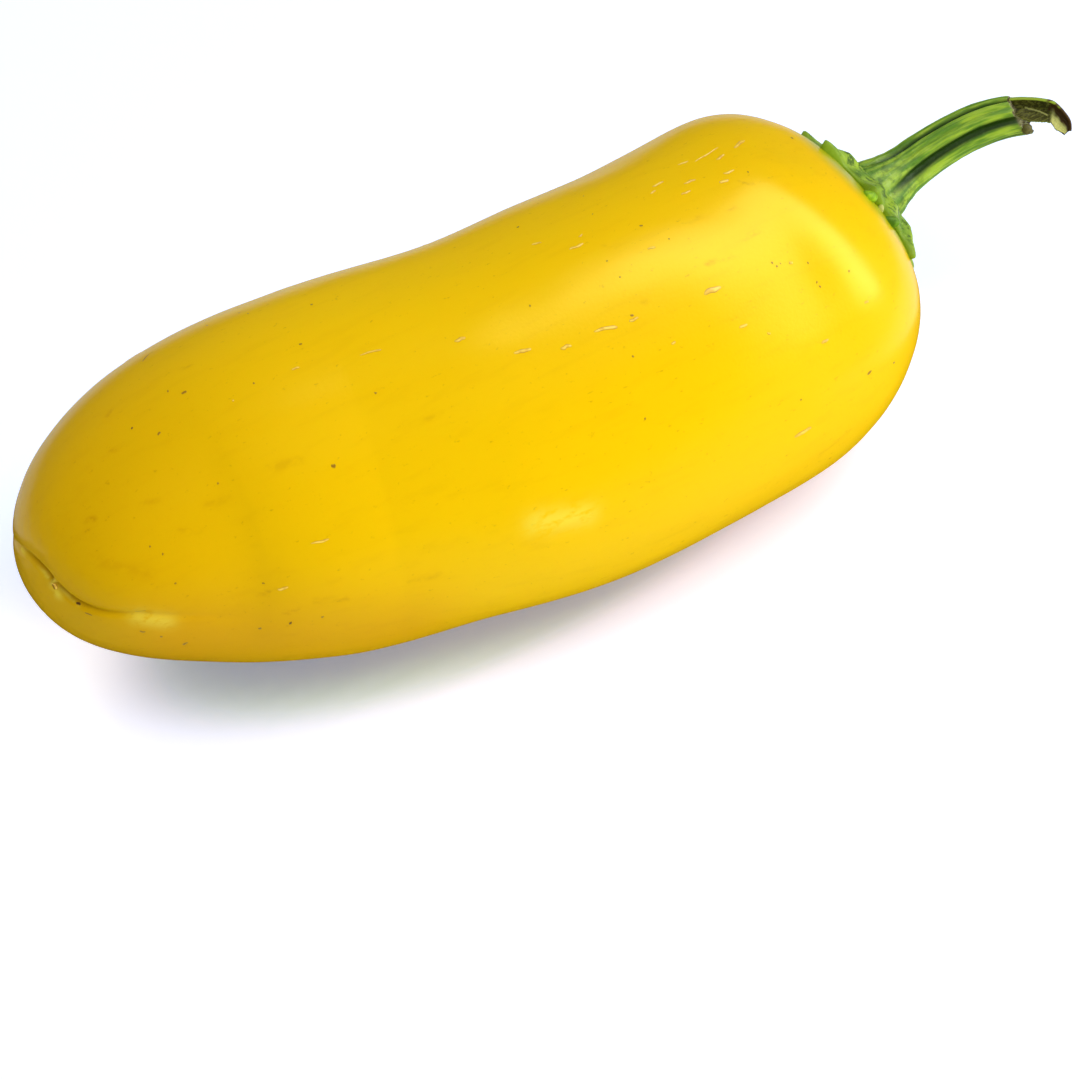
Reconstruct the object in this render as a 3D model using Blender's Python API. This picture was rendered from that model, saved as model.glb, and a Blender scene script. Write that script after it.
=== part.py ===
"""Lemon spice jalapeno pepper, picked, lying on its belly.

Two pieces: the yellow pod, and the green cap and stalk that grew from its shoulder as one.
Lengths below are in millimetres. X runs from the blossom scar to the stalk, Z is up.
An angle round the pod starts at its left side (+Y), passes the top at 90 and the belly at 270.
"""

import math

import bmesh
import bpy
from mathutils import Vector

MM = 0.001
GAP = 0.3  # left between the pod and its cap

# Pod: its size, and its middle line and half width at stations along it
POD_LENGTH = 79.0
POD_FLATTENING = 0.955  # height over width
STATIONS = (  # along, sideways, height, half width
    (0.0, -1.6, 20.8, 14.3),
    (13.0, 2.0, 16.8, 15.6),
    (27.0, 1.0, 15.1, 16.0),
    (41.0, -2.2, 15.5, 16.5),
    (55.0, -2.5, 16.1, 16.7),
    (68.0, -1.3, 16.8, 15.6),
    (POD_LENGTH, -0.2, 19.2, 15.8),
)
SIDEWAYS, HEIGHT, HALF_WIDTH = 1, 2, 3
BLOSSOM_END, BLOSSOM_FULLNESS = 34.2, 2.42
SHOULDER_END, SHOULDER_FULLNESS = 12.9, 2.74
SWELLINGS = (  # along, angle round, reach along, reach round in degrees, height
    (26.0, 214.0, 6.0, 38.0, 0.2),
    (37.0, 212.0, 6.0, 38.0, -0.5),
    (57.0, 38.0, 6.5, 38.0, -0.5),
    (65.0, 215.0, 7.0, 38.0, 1.2),
    (76.0, 215.0, 5.5, 38.0, -1.0),
)
FULL_SWELLING_RADIUS = 15.0

# Creases that fold in from the blossom scar between the lobes.
# The last column is the side whose lobe stands over the crease, 1 or -1.
CREASES = (  # angle at the scar, angle further out, reach from the scar, depth, side
    (12.0, 12.0, 5.5, 0.75, 1),
    (203.0, 180.0, 7.5, 0.75, -1),
    (288.0, 284.0, 6.0, 0.55, 1),
)
CREASE_BEND_RADIUS = 7.0
CREASE_WIDTH = 0.9
LIP_STEP = 0.35  # how much lower the other side starts
LIP_STEP_WIDTH = 2.8

# The belly is pressed flat where the pod lies on it
BELLY_PRESS = 0.3

# Cap (calyx): a thin disc with small nubs on its rim
CAP_RADIUS = 7.3
CAP_UNDERSIDE = (0.25, 0.55, 0.8, 0.97)  # its rings, as shares of the outline
CAP_TOPSIDE = (  # share of the outline, height over the underside
    (1.0, 0.35),
    (0.96, 0.75),
    (0.8, 0.91),
    (0.64, 1.15),
)
NUBS = (  # angle round the rim, reach outwards, half width in degrees
    (22.0, 1.3, 7.0),
    (38.0, 0.7, 6.0),
    (118.0, 0.8, 8.0),
    (192.0, 0.7, 6.0),
    (212.0, 0.9, 7.0),
    (298.0, 1.0, 8.0),
)
RIM_WAVES = ((3, 0.25, 40.0), (7, 0.12, 10.0))  # waves round, height, start angle

# Stalk (pedicel): points of its middle line from the pod's end, and radius there
STALK_ROUTE = (  # along, sideways, height, radius
    (0.9, 0.1, 0.1, 3.75),
    (2.4, 0.15, 0.6, 3.05),
    (4.7, 0.3, 1.25, 2.35),
    (7.3, 0.4, 2.1, 2.15),
    (9.9, 0.2, 2.95, 2.05),
    (12.2, -0.2, 3.6, 2.0),
    (14.2, -0.9, 4.1, 1.9),
    (15.6, -1.6, 4.35, 1.8),
)
FACE = Vector((-0.3, -0.5, 0.81))  # the broadest rib faces this way
GROOVES = (  # angle from the stalk's top edge towards its face, depth, half width in degrees
    (40.0, 0.24, 12.0),
    (107.0, 0.26, 20.0),
    (178.0, 0.20, 14.0),
    (246.0, 0.20, 16.0),
    (314.0, 0.20, 14.0),
)
GROOVE_START, GROOVE_FADE = 1.5, 2.0  # route points to where they begin, and to full depth
CUT_SLANT = 0.55  # the cut end leans by this much of the radius

# Torn strip: the stalk's upper rib runs on past the cut and hooks down
STRIP_ROUTE = (  # along, sideways, height of its crest from the pod's end
    (11.5, 1.4, 4.1),
    (13.4, 1.05, 4.75),
    (15.1, 0.35, 5.2),
    (16.6, -0.6, 5.4),
    (18.0, -1.8, 5.45),
    (18.9, -3.1, 5.15),
    (19.0, -4.4, 4.45),
)
STRIP_WIDTHS = (1.9, 2.4, 2.7, 2.7, 2.5, 2.0, 1.1)
STRIP_THICKNESS = 0.65
STRIP_CURL = 0.35  # depth of the half pipe, as a share of its width

# Fineness of the meshes
POD_RINGS, POD_SIDES = 56, 60
STALK_RINGS, STALK_SIDES = 34, 48
STRIP_RINGS, STRIP_SIDES = 14, 6
SMALL_STEP = 0.05  # along the pod, to read its slope
SMALL_ROUTE_STEP = 0.02  # along a route, in route points
HALVINGS = 40
SMOOTH_BELOW = math.radians(50)


def smooth_value(points, column, x):
    """The value at x of a smooth curve through one column of a table whose first column is x."""
    slopes = []
    for i in range(1, len(points) - 1):
        before, after = points[i - 1], points[i + 1]
        slopes.append((after[column] - before[column]) / (after[0] - before[0]))
    first = (points[1][column] - points[0][column]) / (points[1][0] - points[0][0])
    last = (points[-1][column] - points[-2][column]) / (points[-1][0] - points[-2][0])
    slopes = [1.5 * first - 0.5 * slopes[0], *slopes, 1.5 * last - 0.5 * slopes[-1]]
    i = 0
    while i < len(points) - 2 and x > points[i + 1][0]:
        i += 1
    (x0, v0), (x1, v1) = ((p[0], p[column]) for p in points[i : i + 2])
    span = x1 - x0
    t = (x - x0) / span
    return (
        (2 * t**3 - 3 * t**2 + 1) * v0
        + (t**3 - 2 * t**2 + t) * span * slopes[i]
        + (3 * t**2 - 2 * t**3) * v1
        + (t**3 - t**2) * span * slopes[i + 1]
    )


def angle_between(a, b):
    """The turn in degrees from b to a, between -180 and 180."""
    return (a - b + 180) % 360 - 180


def pod_radius(x):
    """The pod's half width at x, closed at both ends by a rounded cap."""
    from_blossom = max((BLOSSOM_END - x) / BLOSSOM_END, 0)
    from_shoulder = max((x - POD_LENGTH + SHOULDER_END) / SHOULDER_END, 0)
    blossom = (1 - from_blossom**BLOSSOM_FULLNESS) ** (1 / BLOSSOM_FULLNESS)
    shoulder = (1 - from_shoulder**SHOULDER_FULLNESS) ** (1 / SHOULDER_FULLNESS)
    return smooth_value(STATIONS, HALF_WIDTH, x) * blossom * shoulder


def middle_line(x):
    sideways = smooth_value(STATIONS, SIDEWAYS, x)
    return Vector((x, sideways, smooth_value(STATIONS, HEIGHT, x)))


def neighbours(x):
    """The places just before and after x on the pod."""
    return max(x - SMALL_STEP, 0), min(x + SMALL_STEP, POD_LENGTH)


def pod_axes(x):
    """The pod's direction of growth at x, and the sideways and upward directions across it."""
    before, after = neighbours(x)
    along = (middle_line(after) - middle_line(before)).normalized()
    left = Vector((-along.y, along.x, 0)).normalized()
    return along, left, along.cross(left)


def crease_depth(radius, angle):
    """How far the skin is folded in at this distance from the blossom scar."""
    depth = 0
    for start, end, reach, deepest, side in CREASES:
        bend = min(radius / CREASE_BEND_RADIUS, 1)
        off = angle_between(angle, start + (end - start) * bend)
        across = math.radians(off) * radius
        fade = math.exp(-((radius / reach) ** 2))
        depth = max(depth, deepest * fade * math.exp(-abs(across) / CREASE_WIDTH))
        if across * side < 0:
            depth = max(depth, LIP_STEP * fade * math.exp(-abs(across) / LIP_STEP_WIDTH))
    return depth


def pod_point(x, angle, lift=0):
    """A point of the pod's skin, or one lifted off it along its outward direction."""
    radius = pod_radius(x)
    swelling = 0
    for station, middle, reach, reach_round, height in SWELLINGS:
        off = angle_between(angle, middle) / reach_round
        swelling += height * math.exp(-(((x - station) / reach) ** 2) - off**2)
    swollen = radius + swelling * min(radius / FULL_SWELLING_RADIUS, 1)

    before, after = neighbours(x)
    growth = pod_radius(after) - pod_radius(before)
    steepness = math.hypot(after - before, growth)
    along, left, up = pod_axes(x)
    turn = math.radians(angle)
    outwards = math.cos(turn) * left + POD_FLATTENING * math.sin(turn) * up
    normal = (outwards * (after - before) - along * growth) / steepness
    if x < BLOSSOM_END:
        lift = lift - crease_depth(radius, angle)
    return middle_line(x) + swollen * outwards + lift * normal


def spread(i, count):
    """A position from 0 to 1 whose steps are short at both ends, as on a sphere."""
    return (1 - math.cos(math.pi * i / count)) / 2


def closed_body(name, rings, start, end, material):
    """A closed body skinned over rings of points, drawn to a single point at each end."""
    shape = bmesh.new()
    loops = [[shape.verts.new(point * MM) for point in ring] for ring in rings]
    for ring, following in zip(loops, loops[1:]):
        for i, corner in enumerate(ring):
            j = (i + 1) % len(ring)
            shape.faces.new((corner, ring[j], following[j], following[i]))
    for tip, ring in ((start, loops[0]), (end, loops[-1])):
        point = shape.verts.new(tip * MM)
        for i, corner in enumerate(ring):
            shape.faces.new((corner, ring[(i + 1) % len(ring)], point))
    bmesh.ops.recalc_face_normals(shape, faces=shape.faces)
    mesh = bpy.data.meshes.new(name)
    shape.to_mesh(mesh)
    shape.free()
    body = bpy.data.objects.new(name, mesh)
    bpy.context.scene.collection.objects.link(body)
    mesh.materials.append(material)
    mesh.shade_smooth()
    return body


def press_flat(body, floor):
    """Cuts the body off at the floor and closes it with one flat face."""
    shape = bmesh.new()
    shape.from_mesh(body.data)
    cut = bmesh.ops.bisect_plane(
        shape,
        geom=shape.verts[:] + shape.edges[:] + shape.faces[:],
        plane_co=(0, 0, floor),
        plane_no=(0, 0, 1),
        clear_inner=True,
    )
    edges = [part for part in cut["geom_cut"] if isinstance(part, bmesh.types.BMEdge)]
    for edge in edges:
        for corner in edge.verts:
            corner.co.z = floor
    bmesh.ops.holes_fill(shape, edges=edges)
    bmesh.ops.recalc_face_normals(shape, faces=shape.faces)
    shape.to_mesh(body.data)
    shape.free()


def make_material(name, colour, roughness, coat=0.0):
    material = bpy.data.materials.new(name)
    material.use_nodes = True
    surface = material.node_tree.nodes["Principled BSDF"]
    surface.inputs["Base Color"].default_value = (*colour, 1)
    surface.inputs["Roughness"].default_value = roughness
    surface.inputs["Metallic"].default_value = 0
    surface.inputs["Coat Weight"].default_value = coat
    return material


def make_pod():
    rings = []
    for i in range(1, POD_RINGS):
        x = POD_LENGTH * spread(i, POD_RINGS)
        rings.append([pod_point(x, 360 * j / POD_SIDES) for j in range(POD_SIDES)])
    skin = make_material("pod_skin", (0.86, 0.56, 0.01), 0.3, coat=0.6)
    scar, crown = pod_point(0, 0), pod_point(POD_LENGTH, 0)
    pod = closed_body("pod", rings, scar, crown, skin)
    lowest = min(corner.co.z for corner in pod.data.vertices)
    press_flat(pod, lowest + BELLY_PRESS * MM)
    pod.data.set_sharp_from_angle(angle=SMOOTH_BELOW)
    return pod


def shoulder_station(radius):
    """Where along the pod its rounded shoulder has this radius, found by halving."""
    low, high = POD_LENGTH - SHOULDER_END, POD_LENGTH
    for _ in range(HALVINGS):
        middle = (low + high) / 2
        if pod_radius(middle) > radius:
            low = middle
        else:
            high = middle
    return high


def cap_outline(angle):
    """The cap's radius, with its nubs and a gentle wave."""
    radius = CAP_RADIUS
    for waves, height, start in RIM_WAVES:
        radius += height * math.cos(math.radians(waves * (angle - start)))
    for nub, reach, width in NUBS:
        radius += reach * math.exp(-((angle_between(angle, nub) / width) ** 2))
    return radius


def cap_ring(share, height):
    """A ring of the cap at this share of its outline, this far over its underside."""
    ring = []
    for j in range(STALK_SIDES):
        angle = 360 * j / STALK_SIDES
        x = shoulder_station(cap_outline(angle) * share)
        ring.append(pod_point(x, angle, GAP + height))
    return ring


def route_point(route, t, columns):
    """Values at t along a route whose points are evenly numbered."""
    numbered = [(i, *point) for i, point in enumerate(route)]
    return [smooth_value(numbered, column + 1, t) for column in range(columns)]


def frame_across(route, t):
    """The direction of a route at t, and across it its top edge and the side facing FACE."""
    before = Vector(route_point(route, max(t - SMALL_ROUTE_STEP, 0), 3))
    after = Vector(route_point(route, min(t + SMALL_ROUTE_STEP, len(route) - 1), 3))
    along = (after - before).normalized()
    face = (FACE - along * FACE.dot(along)).normalized()
    return along, face.cross(along), face


def stalk_ring(t):
    """A ring across the stalk, ribbed between its grooves."""
    end = len(STALK_ROUTE) - 1
    along, top, face = frame_across(STALK_ROUTE, t)
    x, y, z, radius = route_point(STALK_ROUTE, t, 4)
    near_cut = max(t - end + 1, 0) ** 2
    grooved = min(max(t - GROOVE_START, 0) / GROOVE_FADE, 1)
    in_cap_plane = max(1 - t, 0)
    _, left, up = pod_axes(POD_LENGTH)
    ring = []
    for j in range(STALK_SIDES):
        turn = 2 * math.pi * j / STALK_SIDES
        # The ring starts level with the cap's own first point, so the skin doesn't twist
        out = (math.cos(turn) * left + math.sin(turn) * up).normalized()
        angle = math.degrees(math.atan2(out.dot(face), out.dot(top)))
        ribbed = radius
        for groove, depth, width in GROOVES:
            off = angle_between(angle, groove) / width
            ribbed -= radius * depth * grooved * math.exp(-(off**2))
        across = (out - along * out.dot(along)).normalized()
        out = (across * (1 - in_cap_plane) + out * in_cap_plane).normalized()
        lean = -CUT_SLANT * radius * near_cut * across.dot(face)
        ring.append(stalk_root() + Vector((x, y, z)) + out * ribbed + along * lean)
    return ring


def stalk_root():
    return middle_line(POD_LENGTH)


def make_cap_and_stalk(material):
    underside = [cap_ring(share, 0) for share in CAP_UNDERSIDE]
    topside = [cap_ring(share, height) for share, height in CAP_TOPSIDE]
    end = len(STALK_ROUTE) - 1
    stalk = [stalk_ring(end * i / STALK_RINGS) for i in range(STALK_RINGS + 1)]
    start = pod_point(POD_LENGTH, 0, GAP)
    tip = sum(stalk[-1], Vector()) / STALK_SIDES
    return closed_body(
        "calyx_and_stem", underside + topside + stalk, start, tip, material
    )


def make_torn_strip(material):
    """The half pipe of torn rib, its hollow side towards the stalk's middle line."""
    widths = [(i, width) for i, width in enumerate(STRIP_WIDTHS)]
    rings = []
    for i in range(STRIP_RINGS + 1):
        t = (len(STRIP_ROUTE) - 1) * i / STRIP_RINGS
        _, top, face = frame_across(STRIP_ROUTE, t)
        crest = stalk_root() + Vector(route_point(STRIP_ROUTE, t, 3))
        width = smooth_value(widths, 1, t)
        outer, inner = [], []
        for j in range(STRIP_SIDES + 1):
            share = 2 * j / STRIP_SIDES - 1
            point = crest + face * (share * width / 2)
            point -= top * (STRIP_CURL * width * share**2)
            outer.append(point)
            inner.append(point - top * STRIP_THICKNESS)
        rings.append(outer + inner[::-1])
    ends = [sum(ring, Vector()) / len(ring) for ring in (rings[0], rings[-1])]
    return closed_body("torn_strip", rings, ends[0], ends[1], material)


def join_solids(body, addition):
    """Fuses the addition into the body by a Boolean union and removes the addition."""
    union = body.modifiers.new("union", "BOOLEAN")
    union.operation = "UNION"
    union.solver = "MANIFOLD"  # EXACT leaves nothing of these two
    union.object = addition
    bpy.context.view_layer.update()
    evaluated = body.evaluated_get(bpy.context.evaluated_depsgraph_get())
    fused = bpy.data.meshes.new_from_object(evaluated)
    body.modifiers.clear()
    body.data = fused
    bpy.data.objects.remove(addition)


def make_calyx_and_stem():
    green = make_material("stem_green", (0.16, 0.3, 0.03), 0.55)
    stem = make_cap_and_stalk(green)
    join_solids(stem, make_torn_strip(green))
    stem.data.name = stem.name
    stem.data.shade_smooth()
    stem.data.set_sharp_from_angle(angle=SMOOTH_BELOW)
    return stem


def stand_at_origin(bodies):
    """Moves the pieces together so that the middle of their underside is the origin."""
    corners = [corner.co for body in bodies for corner in body.data.vertices]
    low = Vector(min(corner[axis] for corner in corners) for axis in range(3))
    high = Vector(max(corner[axis] for corner in corners) for axis in range(3))
    shift = Vector((-(low.x + high.x) / 2, -(low.y + high.y) / 2, -low.z))
    for body in bodies:
        for corner in body.data.vertices:
            corner.co += shift


def main():
    for old in list(bpy.data.objects):
        bpy.data.objects.remove(old)
    stand_at_origin([make_pod(), make_calyx_and_stem()])


main()
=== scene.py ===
# Lemon spice jalapeno pepper, whole and picked: its look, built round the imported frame.
# Tables are in millimetres and degrees. X runs from the blossom scar to the stalk, Z is up, and
# an angle round the pod starts at its far side (+Y), passes the top at 90 and the belly at 270.
import math
import random

import bpy
import numpy as np
from mathutils import Matrix, Vector, noise
from mathutils.bvhtree import BVHTree


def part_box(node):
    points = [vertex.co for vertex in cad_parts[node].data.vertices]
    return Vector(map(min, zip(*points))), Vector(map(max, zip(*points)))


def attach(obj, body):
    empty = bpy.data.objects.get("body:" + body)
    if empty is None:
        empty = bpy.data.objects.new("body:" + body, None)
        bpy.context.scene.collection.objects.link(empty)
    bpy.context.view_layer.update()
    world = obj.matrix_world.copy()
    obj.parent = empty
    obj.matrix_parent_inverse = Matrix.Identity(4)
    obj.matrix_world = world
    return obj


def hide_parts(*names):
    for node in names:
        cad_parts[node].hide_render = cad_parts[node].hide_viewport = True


mm = 0.001
bumpHeight = 0.2 * mm  # of every material's fine grain at full strength
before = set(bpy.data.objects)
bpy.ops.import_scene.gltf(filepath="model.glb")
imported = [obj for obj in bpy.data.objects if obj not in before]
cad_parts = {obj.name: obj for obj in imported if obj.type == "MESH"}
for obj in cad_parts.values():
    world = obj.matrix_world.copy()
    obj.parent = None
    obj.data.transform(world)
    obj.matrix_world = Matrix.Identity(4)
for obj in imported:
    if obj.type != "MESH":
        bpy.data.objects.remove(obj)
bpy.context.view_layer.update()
print("packed frame loaded")

# The pod's shape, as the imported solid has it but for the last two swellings
podForm = {
    "length": 79.0,
    "flattening": 0.955,  # height over width
    "stations": (  # along, sideways, height, half width
        (0.0, -1.6, 20.8, 14.3),
        (13.0, 2.0, 16.8, 15.6),
        (27.0, 1.0, 15.1, 16.0),
        (41.0, -2.2, 15.5, 16.5),
        (55.0, -2.5, 16.1, 16.7),
        (68.0, -1.3, 16.8, 15.6),
        (79.0, -0.2, 19.2, 15.8),
    ),
    "blossomEnd": 34.2,
    "blossomFullness": 2.42,
    "shoulderEnd": 12.9,
    "shoulderFullness": 2.74,
    "swellings": (  # along, angle round, reach along, reach round in degrees, height
        (26.0, 214.0, 6.0, 38.0, 0.2),
        (37.0, 212.0, 6.0, 38.0, -0.5),
        (57.0, 38.0, 6.5, 38.0, -0.5),
        (65.0, 215.0, 7.0, 38.0, 1.2),
        (76.0, 215.0, 5.5, 38.0, -1.0),
        (77.0, 108.0, 4.5, 42.0, -1.4),  # the cap sits in a slight dish
        (75.0, 78.0, 4.0, 22.0, -0.7),
    ),
    "fullSwellingRadius": 15.0,
    "bellyPress": 0.3,
    "rings": 300,
    "sides": 272,
    "slopeStep": 0.05,
}

# The folds between the lobes at the blossom scar. The first bends further than the packed
# solid's, and the third is fainter.
creaseForm = {
    "creases": (  # angle at the scar, angle further out, reach, depth, side that stands over it
        (30.0, -10.0, 5.5, 0.75, 1),
        (203.0, 180.0, 7.5, 0.75, -1),
        (288.0, 284.0, 5.0, 0.12, 1),
    ),
    "bendRadius": 7.0,
    "fullDepth": 0.75,  # a fold this deep has the whole slit and lip step
    "width": 0.9,
    "lipStep": 0.45,
    "lipStepWidth": 3.4,
    "slitDepth": 0.16,
    "slitWidth": 0.22,
    "scarDepth": 0.3,
}

# Slight swells in the waxy skin, which break up its highlights
swellForm = {
    "broad": (11.0, 5.5, 0.10, 3.7),  # length along, width round, height, noise start
    "fine": (4.0, 2.2, 0.022, 9.2),
    "lowered": 0.3,  # share of its height that a swell is set down by
    "scarPucker": (0.9, 4.5, 0.07),  # wrinkle size, reach from the scar, height
}


# Value at x of a smooth curve through one column of a table whose first column is x
def smoothValue(table, column, x):
    at = np.array([row[0] for row in table], float)
    value = np.array([row[column] for row in table], float)
    slope = np.empty_like(value)
    slope[1:-1] = (value[2:] - value[:-2]) / (at[2:] - at[:-2])
    slope[0] = 1.5 * (value[1] - value[0]) / (at[1] - at[0]) - 0.5 * slope[1]
    slope[-1] = 1.5 * (value[-1] - value[-2]) / (at[-1] - at[-2]) - 0.5 * slope[-2]
    i = np.clip(np.searchsorted(at, x, side="right") - 1, 0, len(at) - 2)
    span = at[i + 1] - at[i]
    t = (x - at[i]) / span
    return (
        (2 * t**3 - 3 * t**2 + 1) * value[i]
        + (t**3 - 2 * t**2 + t) * span * slope[i]
        + (3 * t**2 - 2 * t**3) * value[i + 1]
        + (t**3 - t**2) * span * slope[i + 1]
    )


def unitRows(rows):
    return rows / np.maximum(np.linalg.norm(rows, axis=-1, keepdims=True), 1e-12)


def angleBetween(a, b):
    return (a - b + 180) % 360 - 180


def podRadius(x):
    fromBlossom = np.clip((podForm["blossomEnd"] - x) / podForm["blossomEnd"], 0, 1)
    fromShoulder = (x - podForm["length"] + podForm["shoulderEnd"]) / podForm["shoulderEnd"]
    fromShoulder = np.clip(fromShoulder, 0, 1)
    blossom = (1 - fromBlossom ** podForm["blossomFullness"]) ** (1 / podForm["blossomFullness"])
    shoulder = (1 - fromShoulder ** podForm["shoulderFullness"]) ** (
        1 / podForm["shoulderFullness"]
    )
    return smoothValue(podForm["stations"], 3, x) * blossom * shoulder


def middleLine(x):
    stations = podForm["stations"]
    return np.stack([x, smoothValue(stations, 1, x), smoothValue(stations, 2, x)], -1)


def neighbours(x):
    step = podForm["slopeStep"]
    return np.maximum(x - step, 0), np.minimum(x + step, podForm["length"])


# The pod's direction of growth at x, and the sideways and upward directions across it
def podAxes(x):
    before, after = neighbours(x)
    along = unitRows(middleLine(after) - middleLine(before))
    left = unitRows(np.stack([-along[..., 1], along[..., 0], 0 * along[..., 0]], -1))
    return along, left, np.cross(along, left)


# Depth of the folds, and how far inside one a point is, from 0 to 1
def creaseDepth(radius, angle):
    depth = np.zeros_like(radius)
    for start, end, reach, deepest, side in creaseForm["creases"]:
        bend = np.minimum(radius / creaseForm["bendRadius"], 1)
        across = np.radians(angleBetween(angle, start + (end - start) * bend)) * radius
        fade = np.exp(-((radius / reach) ** 2))
        fold = deepest * fade * np.exp(-np.abs(across) / creaseForm["width"])
        share = deepest / creaseForm["fullDepth"]
        slit = creaseForm["slitDepth"] * share
        fold += slit * fade * np.exp(-np.abs(across) / creaseForm["slitWidth"])
        step = creaseForm["lipStep"] * share
        step = step * fade * np.exp(-np.abs(across) / creaseForm["lipStepWidth"])
        depth = np.maximum(depth, np.maximum(fold, np.where(across * side < 0, step, 0)))
    return depth


# Points of the pod's skin, lifted off it along its outward direction
def podPoints(x, angle, lift=0.0):
    x, angle, lift = np.broadcast_arrays(
        np.asarray(x, float), np.asarray(angle, float), np.asarray(lift, float)
    )
    radius = podRadius(x)
    swelling = np.zeros_like(radius)
    for station, middle, reach, reachRound, height in podForm["swellings"]:
        off = angleBetween(angle, middle) / reachRound
        swelling += height * np.exp(-(((x - station) / reach) ** 2) - off**2)
    swollen = radius + swelling * np.minimum(radius / podForm["fullSwellingRadius"], 1)
    before, after = neighbours(x)
    growth = podRadius(after) - podRadius(before)
    steepness = np.hypot(after - before, growth)[..., None]
    along, left, up = podAxes(x)
    turn = np.radians(angle)[..., None]
    outwards = np.cos(turn) * left + podForm["flattening"] * np.sin(turn) * up
    normal = (outwards * (after - before)[..., None] - along * growth[..., None]) / steepness
    return middleLine(x) + swollen[..., None] * outwards + lift[..., None] * normal


# Smooth random values at points, for bumps of these sizes along X, Y and Z
def noiseAt(points, size, seed=0.0):
    scaled = points.reshape(-1, 3) / np.array(size) + seed
    return np.array([noise.noise(Vector(p)) for p in scaled]).reshape(points.shape[:-1])


# A closed piece skinned over rings of points, drawn to one point at each end
def closedPiece(name, rings, start, end):
    count, sides = rings.shape[:2]
    points = np.concatenate([rings.reshape(-1, 3), [start, end]]) * mm
    first = (np.arange(count - 1) * sides)[:, None]
    j = np.arange(sides)[None, :]
    k = (j + 1) % sides
    quads = np.stack([first + j, first + k, first + sides + k, first + sides + j], -1)
    faces = quads.reshape(-1, 4).tolist()
    last = (count - 1) * sides
    faces += [(int((i + 1) % sides), i, count * sides) for i in range(sides)]
    faces += [(last + i, last + int((i + 1) % sides), count * sides + 1) for i in range(sides)]
    return pieceFrom(name, points, faces)


def pieceFrom(name, points, faces):
    mesh = bpy.data.meshes.new(name)
    mesh.from_pydata([tuple(p) for p in points], [], [tuple(f) for f in faces])
    mesh.update()
    mesh.shade_smooth()
    piece = bpy.data.objects.new(name, mesh)
    bpy.context.scene.collection.objects.link(piece)
    return piece


# Turns a closed piece's faces out if they point in
def faceOut(piece):
    mesh = piece.data
    mesh.calc_loop_triangles()
    co = np.array([v.co for v in mesh.vertices])
    tri = np.array([t.vertices[:] for t in mesh.loop_triangles])
    a, b, c = co[tri[:, 0]], co[tri[:, 1]], co[tri[:, 2]]
    if np.einsum("ij,ij->i", a, np.cross(b, c)).sum() < 0:
        mesh.flip_normals()


def paintValues(piece, name, values):
    layer = piece.data.attributes.new(name, "FLOAT", "POINT")
    layer.data.foreach_set("value", np.asarray(values, np.float32))


# Rings that lie close together at both ends, as on a sphere
def spread(count, length):
    return length * (1 - np.cos(np.pi * np.arange(1, count) / count)) / 2


# The pod's skin, with its folds and swells, in the tables' own frame
ringX = spread(podForm["rings"], podForm["length"])[:, None]
ringAngle = np.arange(podForm["sides"])[None, :] * 360 / podForm["sides"]
plainSkin = podPoints(ringX, ringAngle)
skinRadius = np.broadcast_to(podRadius(ringX), plainSkin.shape[:2])
folds = creaseDepth(skinRadius, np.broadcast_to(ringAngle, plainSkin.shape[:2]))
folds = folds * (ringX < podForm["blossomEnd"])
swells = 0
for kind in ("broad", "fine"):
    length, width, height, start = swellForm[kind]
    patches = noiseAt(plainSkin, (length, width, width), start)
    swells = swells + height * (patches - swellForm["lowered"])
size, reach, height = swellForm["scarPucker"]
fromScar = np.linalg.norm(plainSkin - podPoints(0.0, 0.0), axis=-1)
swells += height * noiseAt(plainSkin, (size, size, size)) * np.exp(-((fromScar / reach) ** 2))
skin = podPoints(ringX, ringAngle, swells - folds)
belly = plainSkin[..., 2].min() + podForm["bellyPress"]
skin[..., 2] = np.maximum(skin[..., 2], belly)

# From the tables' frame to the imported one: the low corners of the two pods meet
podLow = np.array([plainSkin[..., 0].min(), plainSkin[..., 1].min(), belly])
toFrame = np.array(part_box("pod")[0]) / mm - podLow

blossomScar, crown = podPoints(0.0, 0.0, -creaseForm["scarDepth"]), podPoints(podForm["length"], 0.0)
pod = closedPiece("pod_skin_wall", skin + toFrame, blossomScar + toFrame, crown + toFrame)
faceOut(pod)
# How far into a fold each corner lies, for the painted shade in the folds
inFold = folds.reshape(-1) / creaseForm["fullDepth"]
paintValues(pod, "fold", np.append(inFold, [1, 0]))
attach(pod, "root")
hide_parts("pod")
print("pod skinned")

# The camera of the photograph, a square of 1080 pixels
cameraForm = {
    "azimuth": -31.0,  # it looks along +Y turned this far about the vertical
    "down": 54.0,
    "lens": 100.0,
    "sensor": 36.0,
    "distance": 254.8,  # along its line of sight to the aim point
    "aim": (40.0, 0.0, 16.0),
    "aimPixel": (475.5, 405.2),  # where the aim point lands
    "framePixels": 1080,
    "clipStart": 0.01,  # in metres
}


def cameraAxes():
    turn, down = math.radians(cameraForm["azimuth"]), math.radians(cameraForm["down"])
    right = np.array([math.cos(turn), math.sin(turn), 0])
    level = np.array([-math.sin(turn), math.cos(turn), 0])
    up = level * math.sin(down) + np.array([0, 0, math.cos(down)])
    return right, up, np.cross(up, right)


# The direction, a unit deep, that a pixel of the photograph looks in
def pixelDirection(pixel):
    right, up, sight = cameraAxes()
    half = cameraForm["framePixels"] / 2
    perPixel = cameraForm["sensor"] / cameraForm["lens"] / cameraForm["framePixels"]
    return sight + right * (pixel[0] - half) * perPixel + up * (half - pixel[1]) * perPixel


def cameraPlace():
    sightline = pixelDirection(cameraForm["aimPixel"]) * cameraForm["distance"]
    return np.array(cameraForm["aim"]) - sightline + toFrame


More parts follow.
